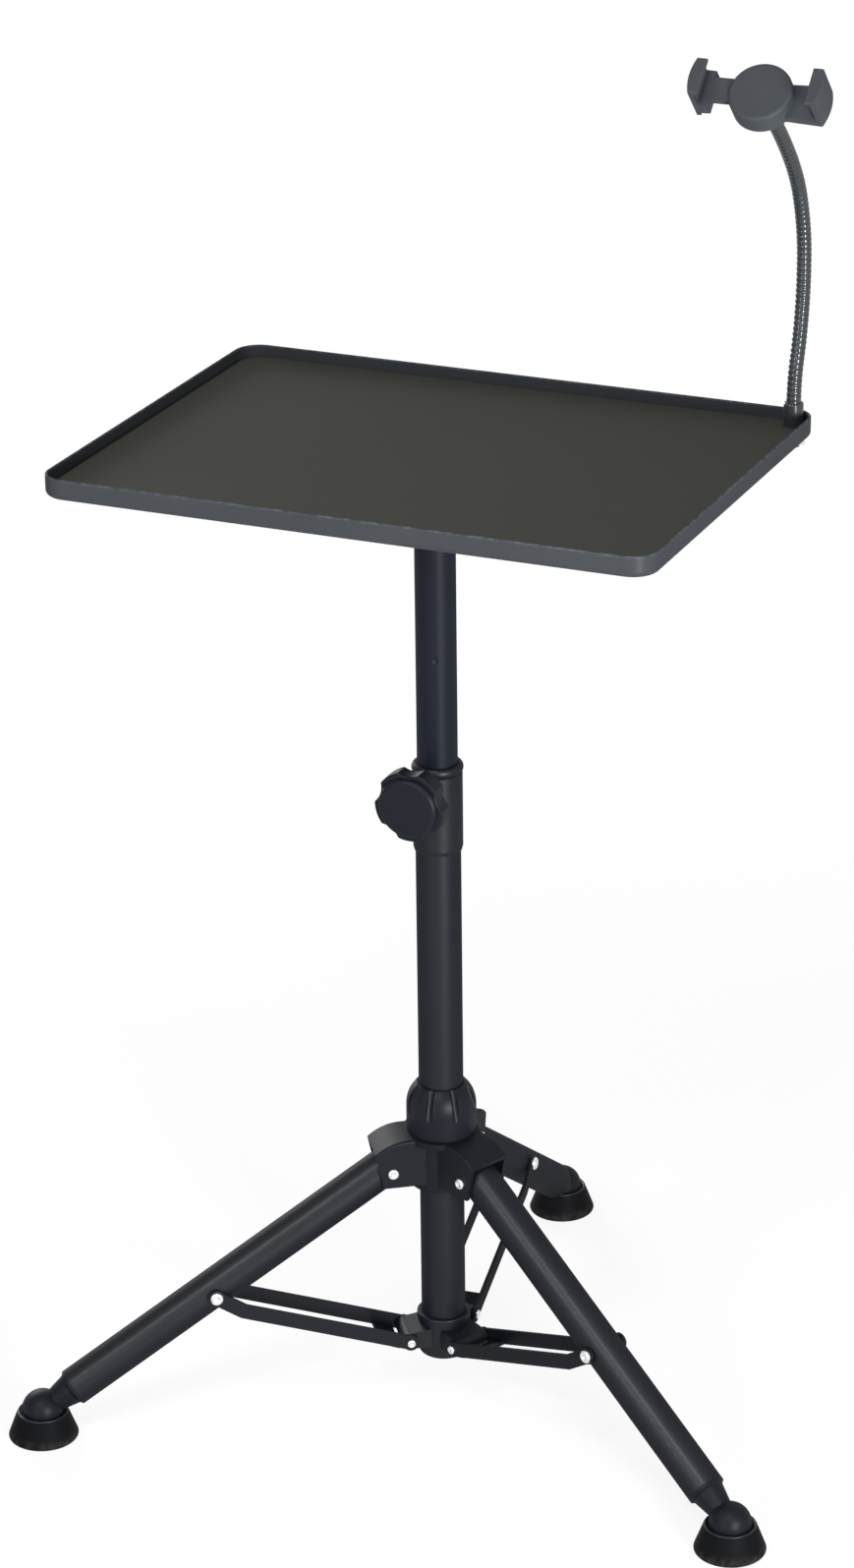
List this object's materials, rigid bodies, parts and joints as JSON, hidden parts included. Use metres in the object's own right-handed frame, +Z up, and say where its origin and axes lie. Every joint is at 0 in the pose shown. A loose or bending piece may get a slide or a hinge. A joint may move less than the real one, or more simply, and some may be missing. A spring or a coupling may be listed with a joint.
{
  "type": "portable projector stand",
  "caption": "Folding tripod stand with a telescopic column, a lipped rectangular tray for a projector and a gooseneck phone holder at the tray's rear corner.",
  "frame": {"origin": "on the floor, under the column's axis", "axes": "+Z up along the column, +X along the tray's long side, -Y to the front, where the knob points"},
  "size_m": [0.4916, 0.4512, 0.8668],
  "materials": {
    "black_paint": "satin powder coat",
    "tray_paint": "satin slate powder coat",
    "black_plastic": "fine moulded grain",
    "mat_rubber": "matte non-slip sheet",
    "foot_rubber": "matte rubber",
    "rivet_steel": "bright zinc plate",
    "neck_metal": "dark spiral-wound hose",
    "holder_plastic": "matte plastic"
  },
  "bodies": {
    "mast": {"lower_tube": "black_paint", "clamp_sleeve": "black_plastic", "spreader_collar": "black_plastic", "collar_rivets": "rivet_steel"},
    "knob": {"star_knob": "black_plastic", "clamp_screw": "rivet_steel"},
    "column": {"upper_tube": "black_paint"},
    "tray_head": {"tray": "tray_paint", "mat": "mat_rubber", "socket_plate": "black_paint", "plate_screws": "rivet_steel", "neck_base": "neck_metal", "neck_nut": "rivet_steel", "gooseneck": "neck_metal", "neck_ferrule": "neck_metal"},
    "ball_ring": {"holder_ring": "holder_plastic"},
    "phone_holder": {"holder_body": "holder_plastic"},
    "jaw": {"sliding_jaw": "holder_plastic"},
    "tripod_hub": {"hub": "black_plastic", "hub_rivets": "rivet_steel"},
    "lock_nut": {"ring_nut": "black_plastic"},
    "leg_right": {"leg_right": "black_paint", "leg_end_right": "black_plastic"},
    "foot_right": {"foot_right": "foot_rubber"},
    "brace_right": {"brace_right": "black_paint", "brace_rivets_right": "rivet_steel"},
    "leg_rear": {"leg_rear": "black_paint", "leg_end_rear": "black_plastic"},
    "foot_rear": {"foot_rear": "foot_rubber"},
    "brace_rear": {"brace_rear": "black_paint", "brace_rivets_rear": "rivet_steel"},
    "leg_left": {"leg_left": "black_paint", "leg_end_left": "black_plastic"},
    "foot_left": {"foot_left": "foot_rubber"},
    "brace_left": {"brace_left": "black_paint", "brace_rivets_left": "rivet_steel"}
  },
  "joints": [
    {"name": "height_slide", "type": "slide", "parent": "mast", "child": "column", "axis": [0, 0, 1], "range_m": [-0.15, 0.15]},
    {"name": "tray_turn", "type": "hinge", "parent": "column", "child": "tray_head", "pos_m": [0, 0, 0.6], "axis": [0, 0, 1], "continuous": true},
    {"name": "knob_turn", "type": "hinge", "parent": "mast", "child": "knob", "pos_m": [0, -0.04, 0.424], "axis": [0, -1, 0], "range_deg": [0, 720]},
    {"name": "holder_tilt", "type": "hinge", "parent": "tray_head", "child": "ball_ring", "pos_m": [0.17476, 0.07973, 0.84154], "axis": [1, 0, 0], "range_deg": [-20, 20]},
    {"name": "holder_turn", "type": "hinge", "parent": "ball_ring", "child": "phone_holder", "pos_m": [0.17476, 0.07973, 0.84154], "axis": [0, -0.7071, 0.7071], "continuous": true},
    {"name": "jaw_slide", "type": "slide", "parent": "phone_holder", "child": "jaw", "axis": [-1, 0, 0], "range_m": [-0.01, 0.014]},
    {"name": "hub_slide", "type": "slide", "parent": "mast", "child": "tripod_hub", "axis": [0, 0, 1], "range_m": [0, 0.1433]},
    {"name": "lock_nut_turn", "type": "hinge", "parent": "tripod_hub", "child": "lock_nut", "pos_m": [0, 0, 0.2], "axis": [0, 0, 1], "range_deg": [0, 360]},
    {"name": "leg_right_fold", "type": "hinge", "parent": "tripod_hub", "child": "leg_right", "pos_m": [0.03081, -0.01437, 0.167], "axis": [0.4226, 0.9063, 0], "range_deg": [0, 50.5]},
    {"name": "foot_right_tilt", "type": "hinge", "parent": "leg_right", "child": "foot_right", "pos_m": [0.23501, -0.10958, 0.0185], "axis": [-0.4226, -0.9063, 0], "range_deg": [0, 50]},
    {"name": "brace_right_fold", "type": "hinge", "parent": "mast", "child": "brace_right", "pos_m": [0.02175, -0.01014, 0.0445], "axis": [-0.4226, -0.9063, 0], "range_deg": [0, 58.41]},
    {"name": "leg_rear_fold", "type": "hinge", "parent": "tripod_hub", "child": "leg_rear", "pos_m": [-0.00296, 0.03387, 0.167], "axis": [-0.9962, -0.0872, 0], "range_deg": [0, 50.5]},
    {"name": "foot_rear_tilt", "type": "hinge", "parent": "leg_rear", "child": "foot_rear", "pos_m": [-0.0226, 0.25831, 0.0185], "axis": [0.9962, 0.0872, 0], "range_deg": [0, 50]},
    {"name": "brace_rear_fold", "type": "hinge", "parent": "mast", "child": "brace_rear", "pos_m": [-0.00209, 0.02391, 0.0445], "axis": [0.9962, 0.0872, 0], "range_deg": [0, 58.41]},
    {"name": "leg_left_fold", "type": "hinge", "parent": "tripod_hub", "child": "leg_left", "pos_m": [-0.02785, -0.0195, 0.167], "axis": [0.5736, -0.8192, 0], "range_deg": [0, 50.5]},
    {"name": "foot_left_tilt", "type": "hinge", "parent": "leg_left", "child": "foot_left", "pos_m": [-0.21241, -0.14873, 0.0185], "axis": [-0.5736, 0.8192, 0], "range_deg": [0, 50]},
    {"name": "brace_left_fold", "type": "hinge", "parent": "mast", "child": "brace_left", "pos_m": [-0.01966, -0.01377, 0.0445], "axis": [-0.5736, 0.8192, 0], "range_deg": [0, 58.41]}
  ],
  "couplings": [
    {"joint": "leg_right_fold", "follows": "hub_slide", "rad_per_m": 6.0898},
    {"joint": "brace_right_fold", "follows": "hub_slide", "rad_per_m": 7.0535},
    {"joint": "leg_rear_fold", "follows": "hub_slide", "rad_per_m": 6.0898},
    {"joint": "brace_rear_fold", "follows": "hub_slide", "rad_per_m": 7.0535},
    {"joint": "leg_left_fold", "follows": "hub_slide", "rad_per_m": 6.0898},
    {"joint": "brace_left_fold", "follows": "hub_slide", "rad_per_m": 7.0535}
  ]
}
